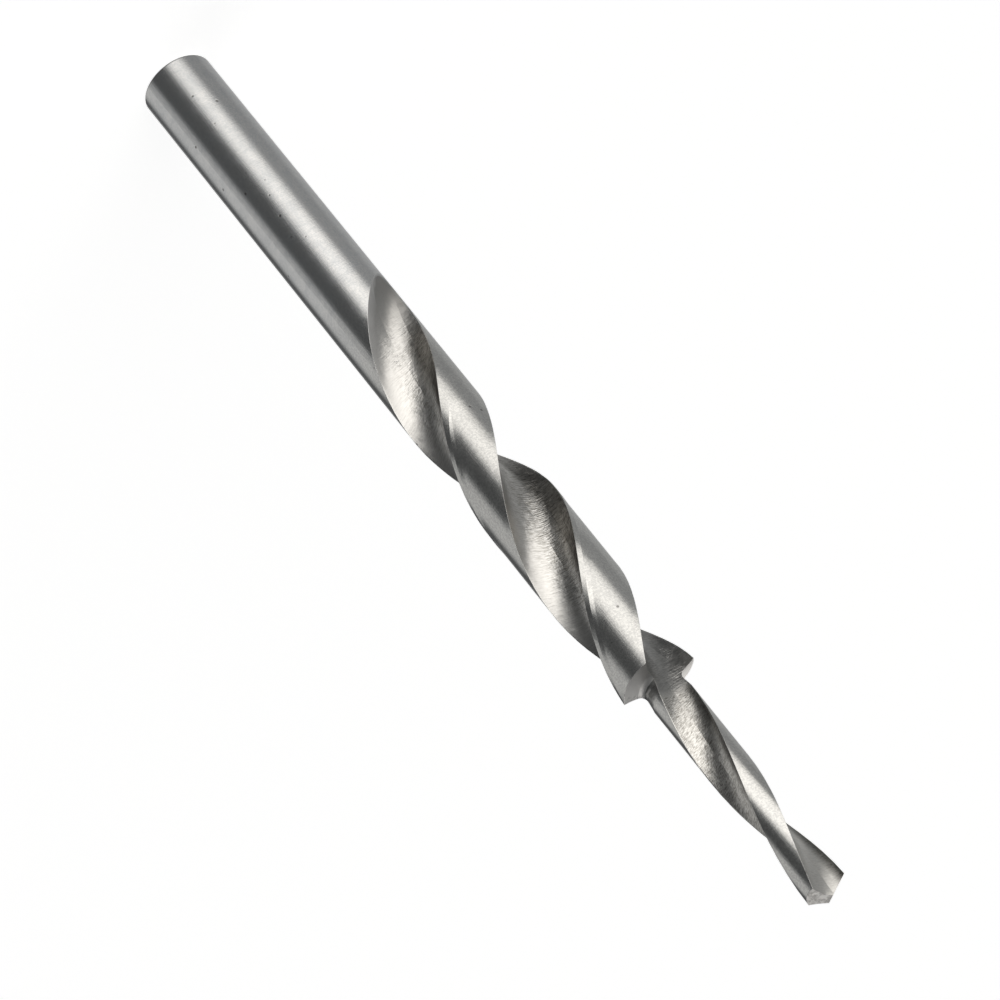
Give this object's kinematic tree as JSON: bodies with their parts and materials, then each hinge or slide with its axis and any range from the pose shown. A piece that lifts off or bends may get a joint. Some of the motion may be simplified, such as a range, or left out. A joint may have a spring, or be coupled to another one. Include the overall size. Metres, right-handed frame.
{
  "type": "step drill bit",
  "caption": "Two-diameter twist drill: plain round shank, twin helical flutes, square step down to a slimmer pilot with a conical cutting point.",
  "frame": {"origin": "middle of the flat shank end", "axes": "+Z along the drill from the shank end to the point; +X through the first leading edge where it meets the step"},
  "size_m": [0.0094, 0.0094, 0.1397],
  "materials": {
    "steel": "ground high-speed steel: fine grinding lines round the shank and lands, coarser ones across the flutes"
  },
  "bodies": {
    "root": {"drill_bit": "steel"}
  },
  "joints": []
}
